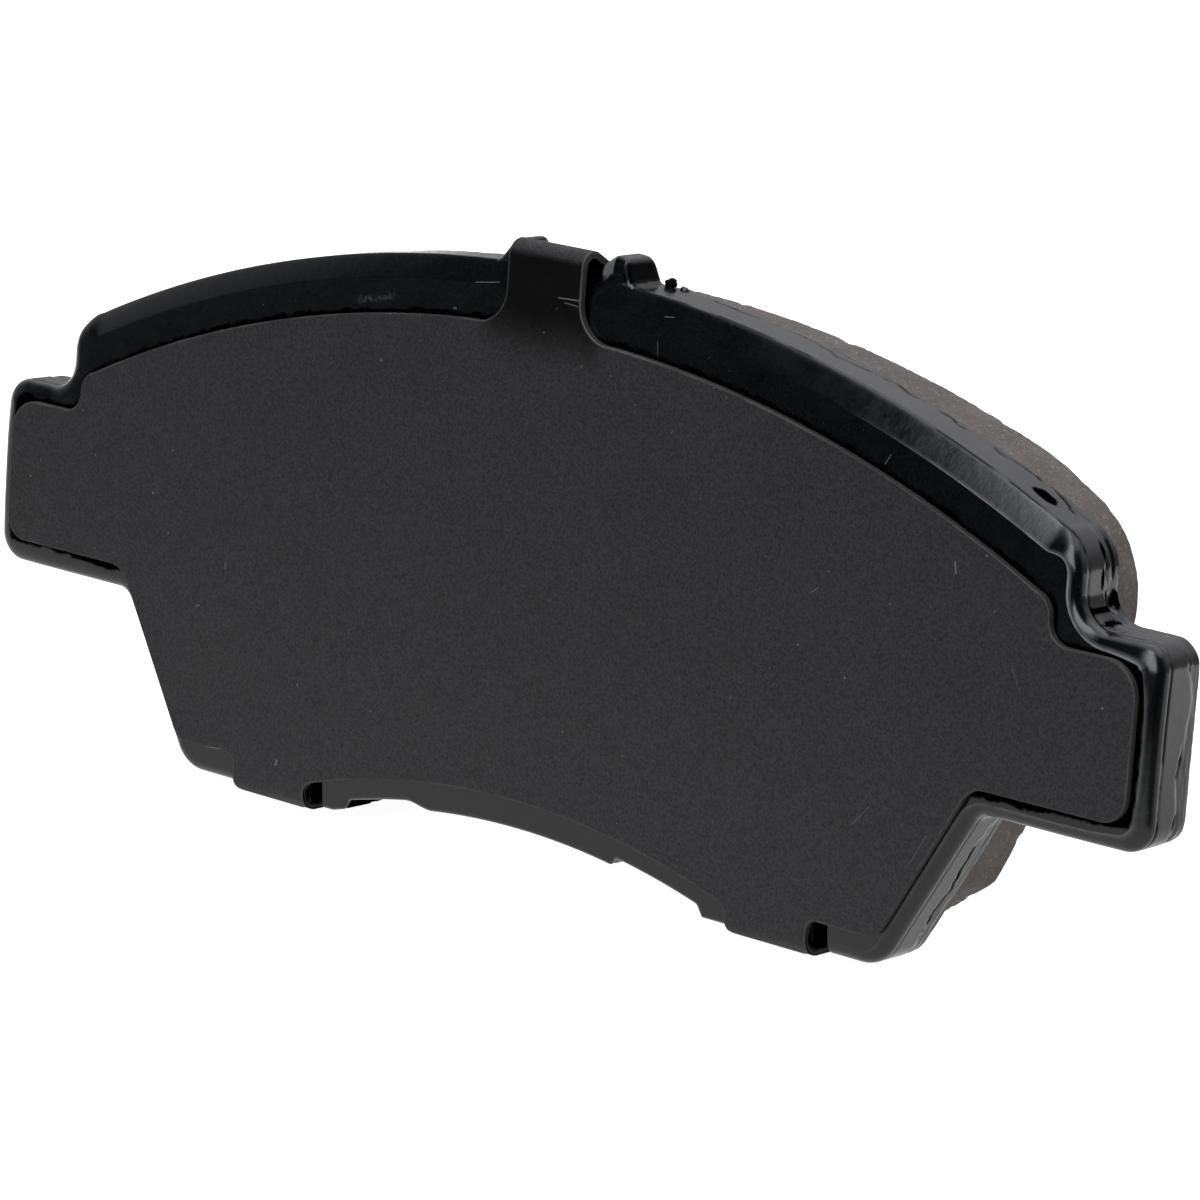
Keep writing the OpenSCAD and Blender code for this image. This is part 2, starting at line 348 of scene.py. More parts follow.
def ramp(add, value, lo, hi, a=0.0, b=1.0):
    """value from lo to hi becomes a to b, smoothly, and stays there beyond."""
    inputs = {"Value": value, "From Min": lo, "From Max": hi, "To Min": a, "To Max": b}
    return add("ShaderNodeMapRange", inputs, interpolation_type="SMOOTHSTEP").outputs["Result"]


def calc(add, operation, a, b=0.0):
    """The result of one calculation."""
    return add("ShaderNodeMath", {0: a, 1: b}, operation=operation).outputs[0]


def tint(add, share, a, b):
    """The colour from a to b by share."""
    return add("ShaderNodeMix", {"Factor": share, "A": a, "B": b}, data_type="RGBA").outputs["Result"]


def grey(level, warm=0.0):
    """A grey colour, redder where warm is above 0 and bluer below."""
    return (level * (1 + warm), level, level * (1 - warm), 1)


def painted(add, name):
    """What paint() stored under that name."""
    return add("ShaderNodeAttribute", attribute_name=name).outputs["Fac"]


def scratches(add, place, marks):
    """The largest of some scratches, each (x, z, angle, length, width) in millimetres and degrees."""
    total = None
    for x, z, angle, length, width in marks:
        along = Vector((math.cos(math.radians(angle)), 0, math.sin(math.radians(angle))))
        across = Vector((-along.z, 0, along.x))
        start = Vector((x, 0, z)) * MM
        rel = add("ShaderNodeVectorMath", {0: place, 1: start}, operation="SUBTRACT").outputs[0]
        run = add("ShaderNodeVectorMath", {0: rel, 1: along}, operation="DOT_PRODUCT").outputs["Value"]
        off = add("ShaderNodeVectorMath", {0: rel, 1: across}, operation="DOT_PRODUCT").outputs["Value"]
        line = ramp(add, calc(add, "ABSOLUTE", off), 0, width * MM, 1, 0)
        middle = calc(add, "ABSOLUTE", calc(add, "SUBTRACT", run, length / 2 * MM))
        ends = ramp(add, middle, 0.35 * length * MM, 0.5 * length * MM, 1, 0)
        mark = calc(add, "MULTIPLY", line, ends)
        total = mark if total is None else calc(add, "MAXIMUM", total, mark)
    return total


def beside_shim(add, place):
    """1 in a thin line on the plate's face around the shim's upper edge and ears: painted contact shadow of
    the shim, and dirt that collects there.
    """
    x, depth, height = xyz(add, place)
    x = calc(add, "ABSOLUTE", x)

    def blended(operation, a, b, blend):
        return add("ShaderNodeMath", {0: a, 1: b, 2: blend * MM}, operation=operation).outputs[0]

    def past(value, limit):
        return calc(add, "SUBTRACT", value, limit * MM)

    # distance outside the shim's outline, which is its body, ears and upper tab together
    rise = calc(add, "POWER", calc(add, "ADD", height, AXIS_DROP * MM), 2.0)
    radius = calc(add, "SQRT", calc(add, "ADD", calc(add, "MULTIPLY", x, x), rise))
    below = calc(add, "SUBTRACT", SHIM_EAR_LOW_Z * MM, height)
    body = blended("SMOOTH_MAX", past(radius, SHIM_TOP_R), past(x, SHIM_SHOULDER), 1.5)
    body = blended("SMOOTH_MAX", body, below, 0.5)
    ear = blended("SMOOTH_MAX", past(x, SHIM_HALF), past(height, SHIM_EAR_TOP_Z), 2.0)
    ear = blended("SMOOTH_MAX", ear, below, 2.0)
    tab = blended("SMOOTH_MAX", past(x, TOP_TAB_HALF), calc(add, "SUBTRACT", 42 * MM, height), 1.0)
    away = blended("SMOOTH_MIN", body, ear, 2.0)
    away = blended("SMOOTH_MIN", away, tab, 3.5)
    blot = ramp(add, grain(add, place, 1.5, 3), 0.35, 0.6, 0.0, 0.25)
    away = calc(add, "ADD", away, calc(add, "MULTIPLY", blot, MM))
    outer = ramp(add, away, 0.35 * MM, 0.75 * MM, 1, 0)
    line = calc(add, "MULTIPLY", outer, ramp(add, away, -1.2 * MM, -0.6 * MM))
    front = ramp(add, depth, (PLATE_LO.y + 0.5) * MM, (PLATE_LO.y + 1) * MM, 1, 0)
    return calc(add, "MULTIPLY", line, front)


# Scratches, each (x, z, angle, length, width), and a wide faint one
ENAMEL_MARKS = [(12.2, 45.3, 95, 2.4, 0.05), (12.2, 49.6, 6, 1.1, 0.06), (-8.3, 49.3, 9, 3.0, 0.06),
                (-10.4, 46.8, 0, 0.4, 0.12), (36.0, 41.5, 60, 1.2, 0.06)]
SMUDGES = [(-21.6, 45.7, 14, 5.0, 0.5)]
COAT_MARKS = [(-38.9, 2.9, 8, 5.5, 0.06), (-27.3, 3.4, 60, 0.8, 0.07), (-26.9, 3.5, 120, 0.7, 0.06),
              (-34.5, 19.7, 95, 0.7, 0.06), (-37.9, 15.7, 30, 0.6, 0.07), (44.3, 34.2, 100, 1.2, 0.09),
              (1.5, 49.6, 2, 2.6, 0.08), (2.2, 49.3, -4, 1.8, 0.05), (42, 10, 62, 3.5, 0.02),
              (51.5, 26, 120, 2.4, 0.02), (30, 30, 35, 1.2, 0.03), (36, 12, 50, 2.8, 0.02)]


def enamel():
    """Gloss black enamel: dusty and scratched, black without gloss where shade and dirt are painted, and with
    a painted highlight on the front edge's inner line.
    """
    made, add, join, place = surface("black_enamel")
    dust = ramp(add, grain(add, place, 0.35, 2), 0.72, 0.80)
    patch = ramp(add, grain(add, place, 6, 3), 0.35, 0.7)
    dust = calc(add, "MULTIPLY", dust, calc(add, "MULTIPLY", patch, 0.5))
    marks = calc(add, "MULTIPLY", scratches(add, place, ENAMEL_MARKS), 0.8)
    smudge = ramp(add, grain(add, place, 0.5), 0.4, 0.6, 0, 0.25)
    smudge = calc(add, "MULTIPLY", scratches(add, place, SMUDGES), smudge)
    # painted shade and dirt make the enamel black and without gloss
    shade_and_dirt = calc(add, "MAXIMUM", painted(add, "shade_and_dirt"), beside_shim(add, place))
    bright = ramp(add, shade_and_dirt, 0, 0.9, 1, 0)
    wear_and_painted_light = calc(add, "MAXIMUM", dust, calc(add, "MAXIMUM", marks, smudge))
    wear_and_painted_light = calc(add, "MULTIPLY", wear_and_painted_light, bright)
    fine = grain(add, place, 0.15, 2, 0.8)
    lighter = calc(add, "MULTIPLY", ramp(add, fine, 0.4, 0.7), bright)
    black = tint(add, lighter, grey(0.0008, -0.2), grey(0.006, -0.2))
    patchy = ramp(add, grain(add, place, 2.5, 3), 0.3, 0.6, 0.45, 1)
    # painted highlight on the front edge's inner line and on the right lug's facet
    edge_highlight = calc(add, "MULTIPLY", painted(add, "edge_highlight"), patchy)
    base = tint(add, wear_and_painted_light, black, grey(0.12, 0.02))
    join(tint(add, edge_highlight, base, grey(0.26, -0.02)), "Base Color")
    smear = ramp(add, grain(add, place, 3.5, 4), 0.3, 0.75, 0.12, 0.21)
    join(calc(add, "ADD", smear, calc(add, "MULTIPLY", wear_and_painted_light, 0.3)), "Roughness")
    join(calc(add, "MULTIPLY", bright, 0.5), "Specular IOR Level")
    peel = grain(add, place, 1.1, 2)
    height = calc(add, "ADD", peel, calc(add, "MULTIPLY", fine, 0.15))
    relief(add, join, height, 0.35, 0.05)
    return made


def shim_coat():
    """Thin rubber coat: fine grain, marks, a rim lightened partly by wear and partly as a painted edge
    highlight, and a smooth area on the upper tab painted dark as shade, which fades down the face below it.
    """
    made, add, join, place = surface("dark_rubber_coat")
    side, _, height = xyz(add, place)
    cloud = grain(add, place, 9, 4)
    fine = grain(add, place, 0.24, 2, 0.8)
    # painted shade: the coat is darker, and smoother, on the upper tab and fades down the face below it
    on_tab = ramp(add, calc(add, "ABSOLUTE", side), 5 * MM, 8 * MM, 1, 0)
    rise = ramp(add, height, 42.5 * MM, 48.4 * MM)
    rise = calc(add, "MULTIPLY", rise, ramp(add, height, 52.4 * MM, 53.2 * MM, 1, 0))
    tab = calc(add, "MULTIPLY", rise, on_tab)
    face = tint(add, ramp(add, cloud, 0.3, 0.7), (0.0060, 0.0050, 0.0056, 1), (0.0080, 0.0068, 0.0078, 1))
    face = tint(add, ramp(add, fine, 0.34, 0.66), face, (0.027, 0.0236, 0.0252, 1))
    face = tint(add, calc(add, "MULTIPLY", tab, 0.95), face, grey(0.0010))
    specks = ramp(add, grain(add, place, 0.5, 1), 0.80, 0.84)
    marks = calc(add, "MAXIMUM", specks, scratches(add, place, COAT_MARKS))
    rim_wear_and_highlight = ramp(add, grain(add, place, 5, 4), 0.38, 0.62, 0.03, 0.19)
    off = calc(add, "ABSOLUTE", calc(add, "SUBTRACT", side, 6 * MM))
    by_tab = ramp(add, height, 42 * MM, 46 * MM)
    by_tab = calc(add, "MULTIPLY", ramp(add, off, 3 * MM, 12 * MM, 0.2, 0), by_tab)
    # the rim is lightened partly by wear and partly as a painted edge highlight
    rim = calc(add, "MULTIPLY", painted(add, "rim"), calc(add, "ADD", rim_wear_and_highlight, by_tab))
    face = tint(add, calc(add, "MULTIPLY", marks, 0.55), face, grey(0.30, 0.03))
    join(tint(add, calc(add, "MULTIPLY", rim, 0.8), face, (0.25, 0.232, 0.212, 1)), "Base Color")
    rough_coat = ramp(add, cloud, 0.3, 0.7, 0.50, 0.62)
    join(calc(add, "SUBTRACT", rough_coat, calc(add, "MULTIPLY", tab, 0.22)), "Roughness")
    relief(add, join, fine, 0.5, 0.03)
    join(calc(add, "SUBTRACT", 0.31, calc(add, "MULTIPLY", tab, 0.17)), "Specular IOR Level")
    return made


def cut_steel():
    """Cold-rolled sheet with stained cut edges, and painted shade low down and inside the upper tab."""
    made, add, join, place = surface("cut_steel_sheet")
    stain = grain(add, place, 1.6, 4)
    fine = grain(add, place, 0.15, 2)
    side, _, height = xyz(add, place)
    base = tint(add, ramp(add, stain, 0.45, 0.65), (0.11, 0.105, 0.10, 1), (0.10, 0.08, 0.062, 1))
    base = tint(add, ramp(add, fine, 0.3, 0.8), base, (0.05, 0.045, 0.04, 1))
    inside = ramp(add, calc(add, "ABSOLUTE", side), 3.7 * MM, 3.95 * MM, 1, 0)
    inside = calc(add, "MULTIPLY", inside, ramp(add, height, 49 * MM, 50 * MM))
    # painted shade low down at the lower tabs and inside the upper tab
    shaded = calc(add, "MAXIMUM", ramp(add, height, 1.5 * MM, 3.0 * MM, 0.95, 0), inside)
    join(tint(add, shaded, base, grey(0.002)), "Base Color")
    join(calc(add, "MULTIPLY", calc(add, "SUBTRACT", 1.0, shaded), 0.5), "Specular IOR Level")
    join(ramp(add, stain, 0.3, 0.7, 0.38, 0.6), "Roughness")
    made.node_tree.nodes["Principled BSDF"].inputs["Metallic"].default_value = 0.6
    relief(add, join, fine, 0.4, 0.03)
    return made


def damping_rubber():
    """Soft dark layer between the two sheets."""
    made, add, join, place = surface("damping_layer")
    fine = grain(add, place, 0.2, 3)
    join(tint(add, fine, grey(0.008), grey(0.025, 0.1)), "Base Color")
    join(ramp(add, fine, 0.3, 0.7, 0.6, 0.85), "Roughness")
    relief(add, join, fine, 0.5, 0.03)
    return made


def composite(name, dark, mid, light, chips):
    """Moulded friction composite: a mottled base with dark and light bits, and a few metal chips."""
    made, add, join, place = surface(name)
    cloud = grain(add, place, 4, 4)
    grit = grain(add, place, 0.3, 4, 0.7)
    bits = add("ShaderNodeTexVoronoi", {"Vector": place, "Scale": 1 / (0.22 * MM)}).outputs["Color"]
    bit = add("ShaderNodeSeparateColor", {"Color": bits}).outputs[0]
    base = tint(add, ramp(add, cloud, 0.3, 0.7), dark, mid)
    base = tint(add, ramp(add, grit, 0.45, 0.75), base, light)
    base = tint(add, calc(add, "MULTIPLY", ramp(add, bit, 0.80, 0.9), 0.3), base, grey(0.03, 0.1))
    glint = calc(add, "MULTIPLY", ramp(add, bit, 0.05, 0.02), chips)
    join(tint(add, glint, base, (0.45, 0.40, 0.33, 1)), "Base Color")
    join(glint, "Metallic")
    matt = ramp(add, grit, 0.3, 0.7, 0.78, 0.95)
    join(calc(add, "SUBTRACT", matt, calc(add, "MULTIPLY", glint, 0.45)), "Roughness")
    relief(add, join, grit, 0.8, 0.12)
    return made


def film():
    """Brown cured adhesive."""
    made, add, join, place = surface("cured_adhesive")
    cloud = grain(add, place, 1.5, 4)
    join(tint(add, cloud, (0.035, 0.022, 0.012, 1), (0.10, 0.07, 0.045, 1)), "Base Color")
    join(ramp(add, cloud, 0.3, 0.7, 0.35, 0.6), "Roughness")
    relief(add, join, cloud, 0.4, 0.05)
    return made


# ---------------------------------------------------------------- backing plate

def low_r(x):
    """Radius of the plate's lower arc, with its shallow recesses."""
    outer = LEFT_RECESS_OUT if x < 0 else RECESS_OUT
    short = 0.35
    inner_step = 1.6 if x < 0 else short
    a = abs(x)
    inner = smooth(RECESS_IN - inner_step, RECESS_IN + inner_step, a)
    return PLATE_LOW_R + RECESS_DEPTH * inner * (1 - smooth(outer - short, outer + short, a))


def plate_outline(side):
    """The plate's outline on one side (1 or -1), from the top to the bottom middle, without lugs."""
    tangent_x = 50
    foot_in = math.sqrt(PLATE_LOW_R ** 2 - (AXIS_DROP + FOOT_Z) ** 2)
    corners = rounded([
        (tangent_x, tangent_z(PLATE_TOP_R, tangent_x, tangent_x), 0),
        (SHOULDER_HALF, tangent_z(PLATE_TOP_R, tangent_x, SHOULDER_HALF), 4),
        (SHOULDER_HALF, EAR_TOP_Z, 2.8),
        (PLATE_HI.x, EAR_TOP_Z, 2.3),
        (PLATE_HI.x, EAR_LOW_Z, 2.5),
        (EAR_ROOT_HALF, EAR_LOW_Z, 1.8),
        (FOOT_HALF, FOOT_Z, 3.4),
        (foot_in, FOOT_Z, 0.5),
        (foot_in - 1.1, arc_z(PLATE_LOW_R, foot_in - 1.1), 0)])
    low = []
    x = foot_in - 0.4
    while x > 0:
        low.append(Vector((x, arc_z(low_r(side * x), x))))
        x -= 0.1
    low.append(Vector((0, arc_z(low_r(0), 0))))
    return resampled(arc(PLATE_TOP_R, 0, corners[0].x - 0.3) + corners + low, 0.3)


def plate_loop():
    """The plate's whole outline, clockwise from the top middle."""
    right, left = plate_outline(1), plate_outline(-1)
    return right + [Vector((-p.x, p.y)) for p in reversed(left)][1:-1]


def near(p, x, z, size):
    """1 at that point of either side of the plate, and less around it."""
    return math.exp(-((abs(p.x) - x) ** 2 + (p.y - z) ** 2) / size ** 2)


def roll_sizes(p):
    """(width, depth, squareness) of the front edge at a point: a bevel on the upper arc, a roll elsewhere."""
    radius = math.hypot(p.x, p.y + AXIS_DROP)
    on_arc = smooth(PLATE_TOP_R - 1.2, PLATE_TOP_R - 0.2, radius) * (1 - smooth(53.4, 55.6, abs(p.x)))
    low = (1 - smooth(FOOT_Z + 0.05, FOOT_Z + 0.6, abs(p.y - FOOT_Z))) * (1 - smooth(19, 22, abs(p.x)))
    low = max(low, 1 - smooth(PLATE_LOW_R + 1.2, PLATE_LOW_R + 2.2, radius))
    corner = near(p, PLATE_HI.x, EAR_TOP_Z, 3.5) + 0.6 * near(p, PLATE_HI.x, EAR_LOW_Z, 3.5)
    width = mix(mix(ROLL_W, BEVEL_W, on_arc), LOW_ROLL_W, low) + 0.85 * corner
    depth = mix(mix(ROLL_D, BEVEL_D, on_arc), LOW_ROLL_D, low) + 0.2 * corner
    return width, depth, mix(2.0, 1.12, on_arc)


# Pits in the torn part of the wall: x, z, share of the thickness, radii along and through the wall, depth
PITS = [(55.6, 33.4, 0.78, 0.8, 0.5, 0.45), (54.9, 34.4, 0.55, 0.45, 1.4, 0.16),
        (55.9, 37.5, 0.85, 2.2, 0.25, 0.25), (49.6, 41.1, 0.56, 1.25, 0.42, 0.6),
        (57.2, 32.6, 0.5, 0.8, 1.2, 0.14)]

# Black spots on the wall, painted black without gloss: x, y, z, radii along and through the wall
DARK_SPOTS = [(49.45, -3.95, 41.05, 1.3, 0.75), (55.4, -6.1, 38.6, 1.3, 0.45), (55.6, -3.5, 37.9, 1.1, 0.3),
              (55.6, -3.95, 35.6, 0.9, 0.22), (55.9, -2.2, 33.9, 0.8, 0.7), (56.1, -4.6, 33.25, 0.35, 2.3),
              (57.0, -4.4, 32.3, 0.35, 1.4)]


def pits(p, share):
    """How deep the pits are at an outline point and that share of the thickness."""
    total = 0.0
    if p.x > 40:
        for x, z, at, along, through, depth in PITS:
            d = ((p.x - x) ** 2 + (p.y - z) ** 2) / along ** 2 + ((share - at) * THICK / through) ** 2
            total += depth * max(0.0, 1 - d * d) if d < 1 else 0.0
    return total


def wall_lines(p, share, roll_share):
    """(groove, crack, line): how much there is of the groove behind the roll, and of the crack at line."""
    groove = math.exp(-((share - roll_share - 0.035 - 0.012 * rough(p.x, 5, p.y, 4)) / 0.022) ** 2)
    where = mix(0.86, 0.66, smooth(48, 58, abs(p.x))) if p.y >= 15 else 0.72
    line = where + 0.16 * rough(p.x, 3, p.y, 6) + 0.05 * rough(p.x, 9, p.y, 1.4)
    crack = math.exp(-((share - line) / 0.03) ** 2)
    return groove, crack * smooth(-0.35, 0.1, rough(p.x, 21, p.y, 2.5)), line


def wall_wear(p, share, roll_share):
    """How far the plate's wall lies inside its outline: a groove, sheared metal, a crack, then torn metal."""
    groove, crack, line = wall_lines(p, share, roll_share)
    torn = smooth(line - 0.02, line + 0.05, share)
    ragged = 0.05 + 0.04 * rough(p.x, 40 * share, p.y, 2.5) + 0.02 * rough(p.x, 30 * share, p.y, 0.9)
    lines = 0.02 + 0.07 * groove + 0.13 * crack
    return lines + torn * max(0.0, 0.03 + ragged) + 0.015 * rough(p.x, 8 * share, p.y, 7) + pits(p, share)


def plate_shade_and_dirt(x, y, z):
    """1 where the enamel is painted black without gloss: painted shade in the wall's lines, the notches, the
    step at the left recess's end, on the right lug's flank and under the tab, and black spots on the wall.
    """
    p, share = Vector((x, z)), (y - PLATE_LO.y) / THICK
    # painted shade on the right lug's right flank
    if z - arc_z(PLATE_TOP_R, x) > 0.25:  # a lug
        return 0.75 * smooth(6.6, 7.2, x) * (1 - smooth(LUG_TOP_Z - 0.5, LUG_TOP_Z, z))
    # painted shade under the upper tab
    if abs(x) < 4.5 and z > 50.6:  # under the upper tab
        return smooth(0.1, 0.2, share)
    # painted shade on the step at the left recess's end
    if abs(x + LEFT_RECESS_OUT) < 0.7 and z < 6:  # the step at the left recess's end
        return smooth(0.06, 0.12, share)
    # painted shade in the foot notches
    for lo, hi in FOOT_NOTCHES:
        if lo - 0.1 < x < hi + 0.1 and z < NOTCH_TOP_Z + 0.1:
            return smooth(0.005, 0.015, share)
    depth = roll_sizes(p)[1] / THICK
    if share < depth + 0.005:
        return 0.0
    groove, crack, line = wall_lines(p, share, depth)
    # painted shade in the wall's crack and in the groove behind the roll
    wide = 0.25 if z < 16 else 0.6
    wear_and_painted_light = 0.95 * crack ** wide + 0.9 * groove ** 0.4 * smooth(-0.5, 0, rough(x, 31, z, 3)) * (z > 16)
    # black spots on the wall, painted without gloss
    for at_x, at_y, at_z, along, through in DARK_SPOTS:
        far = math.hypot(math.hypot(x - at_x, z - at_z) / along, (y - at_y) / through)
        wear_and_painted_light = max(wear_and_painted_light, 1 - smooth(0.85, 1.2, far + 0.15 * rough(x, y, z, 0.6)))
    return min(1.0, wear_and_painted_light)


def plate_rings(loop):
    """The plate's rings from its front face round the front edge and along the wall to the back."""
    steps, wall_steps, support = 9, 34, 0.08
    out = normals(loop)
    sizes = [roll_sizes(p) for p in loop]
    # the insets change slowly along the edge
    for _ in range(6):
        before, after = sizes[-1:] + sizes[:-1], sizes[1:] + sizes[:1]
        sizes = [tuple((a + 2 * b + c) / 4 for a, b, c in zip(*three)) for three in zip(before, sizes, after)]
    rings = [[(p.x - n.x * (w + support), p.y - n.y * (w + support), 0.0)
              for p, n, (w, d, q) in zip(loop, out, sizes)]]
    for k in range(steps + 1):
        a = math.pi / 2 * k / steps
        ring = []
        for p, n, (w, d, q) in zip(loop, out, sizes):
            inset = w * (1 - math.sin(a) ** (2 / q)) + 0.02 * smooth(0.5, 1, k / steps)
            ring.append((p.x - n.x * inset, p.y - n.y * inset, d * (1 - math.cos(a) ** (2 / q))))
        rings.append(ring)
    for k in range(1, wall_steps + 1):
        ring = []
        for p, n, (w, d, q) in zip(loop, out, sizes):
            depth = mix(d, THICK - 0.12, k / wall_steps)
            inset = wall_wear(p, depth / THICK, d / THICK)
            ring.append((p.x - n.x * inset, p.y - n.y * inset, depth))
        rings.append(ring)
    for inset in (0.12, 0.1):
        rings.append([(x - n.x * inset, z - n.y * inset, THICK) for (x, z, _), n in zip(rings[-1], out)])
    return rings


def highlight_share(p):
    """How strongly the painted highlight shows on the front edge's inner line at an outline point."""
    return smooth(30, 54, p.x) * (1 if p.y > EAR_TOP_Z - 1 else 0.3)


def straight(x, z, y):
    """A ring's point whose depth is already y."""
    return x, y, z


def circle_ring(x, z, r, depth, n=72):
    """A circle of n points about (x, z) at that depth."""
    turns = [2 * math.pi * i / n for i in range(n)]
    return [(x + r * math.cos(turn), z + r * math.sin(turn), depth) for turn in turns]


def key_ring(side, extra, depth):
    """A circle about the keying hole on that side, wider than the hole by twice extra."""
    return circle_ring(side * KEY_X, KEY_Z, KEY_R + extra, depth)


# Corners of the lugs' outlines: distance from the middle, height, radius
RIGHT_LUG = [(4.7, 52.8, 0.4), (5.8, LUG_TOP_Z + 0.15, 0.8), (7.2, LUG_TOP_Z + 0.05, 0.9), (7.9, 51.75, 0.4),
             (8.6, 51.0, 0)]
LEFT_LUG = [(LUG_IN, LUG_TOP_Z, 0.3), (5.1, LUG_TOP_Z, 0.8), (6.45, 51.75, 0.5), (7.4, 51.0, 0)]


def lug(side):
    """One of the two small lugs beside the upper tab, as a solid that starts inside the plate."""
    corners = RIGHT_LUG if side > 0 else LEFT_LUG
    inner, foot = corners[0][0], corners[-1][0]
    low = arc_z(PLATE_TOP_R, foot) - 3
    path = rounded([(inner, low, 0), *corners, (foot, low, 0)])
    path = resampled([Vector((inner, low))] + path + [Vector((foot, low)), Vector((inner, low))], 0.1)[:-1]
    deep = THICK - LUG_SETBACK - 0.3
    front, back, steps = 0.8, 1.0, 36  # lengths of the rounded front and back
    rings = []
    for k in range(steps + 1):
        y = deep * k / steps
        rise = 1.0
        if y < front:
            rise = 0.45 + 0.55 * math.sqrt(max(0, 1 - ((front - y) / front) ** 2))
        if y > deep - back:
            rise = min(rise, 0.35 + 0.65 * math.sqrt(max(0, 1 - ((y - deep + back) / back) ** 2)))
        ring = []
        for p in path:
            ground = arc_z(PLATE_TOP_R, min(p.x, foot)) - 0.35
            x, z = p
            if z > ground:
                z = ground + (z - ground) * rise + 0.04 * rough(x, y, z, 1.2)
                x = mix((inner + foot) / 2 - 0.4, x, 0.8 + 0.2 * rise)
            ring.append((side * x, z, y))
        rings.append(ring)
    verts, faces = lofted(rings, lambda x, z, depth: (x, PLATE_LO.y + LUG_SETBACK + depth, z))
    return helper("lug_part", verts, faces)


def crumb(x, y, z, size):
    """A drop of dried enamel on the plate's edge."""
    bm = bmesh.new()
    bmesh.ops.create_icosphere(bm, subdivisions=3, radius=size)
    verts = []
    for v in bm.verts:
        swell = 1 + 0.35 * rough(v.co.x + x, v.co.y, v.co.z, 0.8 * size + 0.2)
        verts.append((x + v.co.x * swell * 1.2, y + v.co.y * swell, z + v.co.z * swell * 0.9))
    faces = [[v.index for v in f.verts] for f in bm.faces]
    bm.free()
    return helper("crumb_part", verts, faces)


def build_plate(skin):
    """The plate, with its keying holes, foot notches, lugs, two crumbs of enamel, a painted highlight, and
    painted shade and dirt.
    """
    loop = plate_loop()
    holes = [[key_ring(side, 0.12, 0.0), key_ring(side, 0, 0.12), key_ring(side, 0, THICK)]
             for side in (1, -1)]
    rings = plate_rings(loop)
    verts, faces = lofted(rings, lambda x, z, depth: (x, PLATE_LO.y + depth, z), hole_rings=holes)
    plate = finished("steel_plate", verts, faces, skin, "pad", ["backing_plate"])
    edge_highlight = [0.0] * len(verts)
    for i, p in enumerate(loop):
        edge_highlight[len(loop) + i] = highlight_share(p)
        edge_highlight[2 * len(loop) + i] = 0.3 * highlight_share(p)
    plate.data.attributes.new("edge_highlight", "FLOAT", "POINT").data.foreach_set("value", edge_highlight)
    outward(plate)
    cutters = []
    for lo, hi in FOOT_NOTCHES:
        path = [(lo, NOTCH_TOP_Z), (hi, NOTCH_TOP_Z), (hi + 0.5, -2), (lo, -2)]
        # the ring just inside the front face keeps the notch's painted shade off that face
        rings = [[(x, z, y) for x, z in path] for y in (-9, PLATE_LO.y + 0.1, 0)]
        cutters.append(helper("notch_part", *lofted(rings, straight)))
    combined(plate, cutters, "DIFFERENCE")
    crumbs = [crumb(9.0, -2.1, 51.5, 0.5), crumb(10.3, -1.95, 51.1, 0.36)]
    combined(plate, [lug(1), lug(-1), *crumbs], "UNION")
    plate.data.set_sharp_from_angle(angle=math.radians(40))
    # behind the front edge only the right lug's facet gets the painted highlight
    for v, wear_and_painted_light in zip(plate.data.vertices, plate.data.attributes["edge_highlight"].data):
        x, y, z = v.co / MM
        if y > PLATE_LO.y + 0.1:
            facet = z > arc_z(PLATE_TOP_R, x) + 0.3 and 4 < x < 5.9 and y < -5.3
            wear_and_painted_light.value = 0.45 if facet else 0
    paint(plate, "shade_and_dirt", plate_shade_and_dirt)


# ---------------------------------------------------------------- friction side

def block_outline():
    """The outline that the friction block, underlayer and film share."""
    start = BLOCK_TANGENT - 0.4
    foot_in = math.sqrt(BLOCK_LOW_R ** 2 - (AXIS_DROP + BLOCK_FOOT_Z) ** 2)
    corners = rounded([
        (start, tangent_z(BLOCK_TOP_R, BLOCK_TANGENT, start), 0),
        (BLOCK_BEND, tangent_z(BLOCK_TOP_R, BLOCK_TANGENT, BLOCK_BEND), 25),
        (54, 35.05, 9), (39.7, 5.6, 2.5), (34.2, BLOCK_FOOT_Z, 2), (foot_in, BLOCK_FOOT_Z, 0.6),
        (foot_in - 2, arc_z(BLOCK_LOW_R, foot_in - 2), 0)])
    top = [p for p in arc(BLOCK_TOP_R, 0, 52) if p.x < corners[0].x - 0.2]
    low = [p for p in arc(BLOCK_LOW_R, foot_in, 0) if p.x < foot_in - 0.8]
    return closed(resampled(top + corners + low, 0.4))


def gritty_rings(loop, y0, y1, step, rough_mm, chip_mm, seed):
    """Rings of a moulded wall with a gritty surface and slightly ragged, chipped ends."""
    out = normals(loop)
    n = max(2, round((y1 - y0) / step))
    rings = []
    for k in range(n + 1):
        y = mix(y0, y1, k / n)
        end = min(y - y0, y1 - y)
        ring = []
        for p, m in zip(loop, out):
            grit = 0.4 * rough(p.x, y + seed, p.y, 1.1, 4) + 0.8 * rough(p.x, y + seed, p.y, 0.45, 2)
            inset = rough_mm * (0.6 + grit)
            inset += chip_mm * max(0, rough(p.x, y * 0.3 + seed, p.y, 2.2) - 0.1) * (1 - smooth(0, 0.8, end))
            ring.append((p.x - m.x * inset, p.y - m.y * inset, y))
        rings.append(ring)
    first, last = [[(x - m.x * 0.08, z - m.y * 0.08, y) for (x, z, y), m in zip(ring, out)]
                   for ring in (rings[0], rings[-1])]
    return [first, *rings, last]


